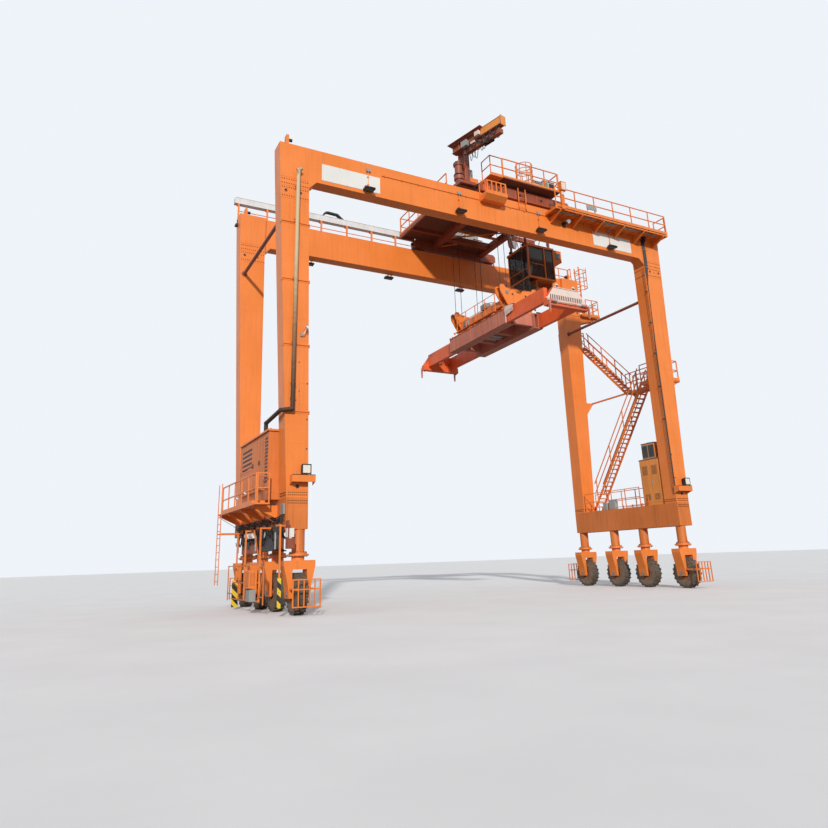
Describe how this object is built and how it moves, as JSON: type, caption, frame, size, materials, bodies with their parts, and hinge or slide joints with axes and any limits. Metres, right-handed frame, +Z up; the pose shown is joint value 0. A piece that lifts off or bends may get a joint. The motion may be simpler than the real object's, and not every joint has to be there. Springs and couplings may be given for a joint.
{
  "type": "rubber tyred gantry crane",
  "caption": "Rubber tyred gantry crane with two portal frames on steerable wheels, a travelling trolley with cab and service jib, and a hoisted telescopic container spreader.",
  "frame": {"origin": "on the ground at the middle of the crane's four corners", "axes": "+X along the girders from the generator side to the stair side, +Y along the driving direction away from the cameraside portal, +Z up"},
  "size_m": [24.6803, 12.595, 22.64],
  "materials": {
    "orange_paint": "satin, weathered",
    "red_orange_paint": "satin, weathered",
    "faded_pink_paint": "matt, faded",
    "pale_paint": "matt",
    "galvanised_steel": "dull",
    "black_chain": "matt",
    "tyre_rubber": "matt",
    "cab_glass": "tinted",
    "wire_rope": "greased",
    "lamp_black": "matt",
    "exhaust_brown": "heat stained",
    "house_paint": "satin"
  },
  "bodies": {
    "gantry": {"near_girder": "orange_paint", "far_girder": "orange_paint", "near_left_leg": "orange_paint", "near_right_leg": "orange_paint", "far_left_leg": "orange_paint", "far_right_leg": "orange_paint", "left_sill": "orange_paint", "right_sill": "orange_paint", "left_tie_pipe": "orange_paint", "right_tie_pipe": "orange_paint", "girder_walkway": "orange_paint", "girder_rails": "orange_paint", "girder_pulpit": "orange_paint", "cable_trough": "galvanised_steel", "energy_chain": "black_chain", "genset_house": "orange_paint", "exhaust_pipe": "exhaust_brown", "left_access_platform": "orange_paint", "left_service_frame": "orange_paint", "guard_posts": "orange_paint", "electrical_house": "house_paint", "lower_stair": "orange_paint", "middle_landing": "orange_paint", "upper_stair": "orange_paint", "upper_landing": "orange_paint", "stair_rails": "orange_paint", "rest_landing": "orange_paint", "ladders": "orange_paint", "floodlights": "lamp_black"},
    "fork_left_1": {"fork_left_1": "orange_paint"},
    "wheel_left_1": {"wheel_left_1": "tyre_rubber"},
    "fork_left_2": {"fork_left_2": "orange_paint"},
    "wheel_left_2": {"wheel_left_2": "tyre_rubber"},
    "fork_left_3": {"fork_left_3": "orange_paint"},
    "wheel_left_3": {"wheel_left_3": "tyre_rubber"},
    "fork_left_4": {"fork_left_4": "orange_paint"},
    "wheel_left_4": {"wheel_left_4": "tyre_rubber"},
    "fork_right_1": {"fork_right_1": "orange_paint"},
    "wheel_right_1": {"wheel_right_1": "tyre_rubber"},
    "fork_right_2": {"fork_right_2": "orange_paint"},
    "wheel_right_2": {"wheel_right_2": "tyre_rubber"},
    "fork_right_3": {"fork_right_3": "orange_paint"},
    "wheel_right_3": {"wheel_right_3": "tyre_rubber"},
    "fork_right_4": {"fork_right_4": "orange_paint"},
    "wheel_right_4": {"wheel_right_4": "tyre_rubber"},
    "trolley": {"trolley_frame": "red_orange_paint", "trolley_deck": "orange_paint", "deck_rails": "orange_paint", "hoist_machinery": "red_orange_paint", "cab_frame": "orange_paint", "cab_glazing": "cab_glass", "hoist_ropes": "wire_rope"},
    "jib": {"jib_arm": "red_orange_paint"},
    "hoist": {"headblock": "orange_paint", "spreader_frame": "faded_pink_paint"},
    "near_end": {"near_telescopic_end": "red_orange_paint"},
    "far_end": {"far_telescopic_end": "red_orange_paint"},
    "near_flip": {"near_flippers": "pale_paint"},
    "far_flip": {"far_flippers": "pale_paint"}
  },
  "joints": [
    {"name": "steer_left_1", "type": "hinge", "parent": "gantry", "child": "fork_left_1", "pos_m": [-10.15, -3.66, 2.1095], "axis": [0, 0, 1], "range_deg": [0, 90]},
    {"name": "roll_left_1", "type": "hinge", "parent": "fork_left_1", "child": "wheel_left_1", "pos_m": [-10.15, -3.66, 0.73], "axis": [1, 0, 0], "continuous": true},
    {"name": "steer_left_2", "type": "hinge", "parent": "gantry", "child": "fork_left_2", "pos_m": [-10.15, -1.1, 2.1095], "axis": [0, 0, 1], "range_deg": [0, 90]},
    {"name": "roll_left_2", "type": "hinge", "parent": "fork_left_2", "child": "wheel_left_2", "pos_m": [-10.15, -1.1, 0.73], "axis": [1, 0, 0], "continuous": true},
    {"name": "steer_left_3", "type": "hinge", "parent": "gantry", "child": "fork_left_3", "pos_m": [-10.15, 1.1, 2.1095], "axis": [0, 0, 1], "range_deg": [0, 90]},
    {"name": "roll_left_3", "type": "hinge", "parent": "fork_left_3", "child": "wheel_left_3", "pos_m": [-10.15, 1.1, 0.73], "axis": [1, 0, 0], "continuous": true},
    {"name": "steer_left_4", "type": "hinge", "parent": "gantry", "child": "fork_left_4", "pos_m": [-10.15, 3.66, 2.1095], "axis": [0, 0, 1], "range_deg": [0, 90]},
    {"name": "roll_left_4", "type": "hinge", "parent": "fork_left_4", "child": "wheel_left_4", "pos_m": [-10.15, 3.66, 0.73], "axis": [1, 0, 0], "continuous": true},
    {"name": "steer_right_1", "type": "hinge", "parent": "gantry", "child": "fork_right_1", "pos_m": [10.15, -3.66, 2.1095], "axis": [0, 0, 1], "range_deg": [0, 90]},
    {"name": "roll_right_1", "type": "hinge", "parent": "fork_right_1", "child": "wheel_right_1", "pos_m": [10.15, -3.66, 0.73], "axis": [1, 0, 0], "continuous": true},
    {"name": "steer_right_2", "type": "hinge", "parent": "gantry", "child": "fork_right_2", "pos_m": [10.15, -1.1, 2.1095], "axis": [0, 0, 1], "range_deg": [0, 90]},
    {"name": "roll_right_2", "type": "hinge", "parent": "fork_right_2", "child": "wheel_right_2", "pos_m": [10.15, -1.1, 0.73], "axis": [1, 0, 0], "continuous": true},
    {"name": "steer_right_3", "type": "hinge", "parent": "gantry", "child": "fork_right_3", "pos_m": [10.15, 1.1, 2.1095], "axis": [0, 0, 1], "range_deg": [0, 90]},
    {"name": "roll_right_3", "type": "hinge", "parent": "fork_right_3", "child": "wheel_right_3", "pos_m": [10.15, 1.1, 0.73], "axis": [1, 0, 0], "continuous": true},
    {"name": "steer_right_4", "type": "hinge", "parent": "gantry", "child": "fork_right_4", "pos_m": [10.15, 3.66, 2.1095], "axis": [0, 0, 1], "range_deg": [0, 90]},
    {"name": "roll_right_4", "type": "hinge", "parent": "fork_right_4", "child": "wheel_right_4", "pos_m": [10.15, 3.66, 0.73], "axis": [1, 0, 0], "continuous": true},
    {"name": "trolley_travel", "type": "slide", "parent": "gantry", "child": "trolley", "axis": [1, 0, 0], "range_m": [-8.9, 4.8]},
    {"name": "jib_slew", "type": "hinge", "parent": "trolley", "child": "jib", "pos_m": [-1.64, -3.05, 20.66], "axis": [0, 0, 1], "range_deg": [-90, 150]},
    {"name": "hoist", "type": "slide", "parent": "trolley", "child": "hoist", "axis": [0, 0, 1], "range_m": [-10.2, 3.4], "deforming": ["hoist_ropes"]},
    {"name": "far_end_slide", "type": "slide", "parent": "hoist", "child": "far_end", "axis": [0, -1, 0], "range_m": [0, 3.066]},
    {"name": "near_end_slide", "type": "slide", "parent": "hoist", "child": "near_end", "axis": [0, 1, 0], "range_m": [0, 3.066]},
    {"name": "near_flipper_turn", "type": "hinge", "parent": "near_end", "child": "near_flip", "pos_m": [2.02, -6.2325, 13.03], "axis": [-1, 0, 0], "range_deg": [0, 175]},
    {"name": "far_flipper_turn", "type": "hinge", "parent": "far_end", "child": "far_flip", "pos_m": [2.02, 6.2325, 13.03], "axis": [1, 0, 0], "range_deg": [0, 175]}
  ],
  "couplings": [
    {"joint": "steer_left_2", "follows": "steer_left_1", "ratio": 1},
    {"joint": "steer_left_3", "follows": "steer_left_1", "ratio": 1},
    {"joint": "steer_left_4", "follows": "steer_left_1", "ratio": 1},
    {"joint": "steer_right_1", "follows": "steer_left_1", "ratio": 1},
    {"joint": "steer_right_2", "follows": "steer_left_1", "ratio": 1},
    {"joint": "steer_right_3", "follows": "steer_left_1", "ratio": 1},
    {"joint": "steer_right_4", "follows": "steer_left_1", "ratio": 1},
    {"joint": "near_end_slide", "follows": "far_end_slide", "ratio": 1}
  ]
}
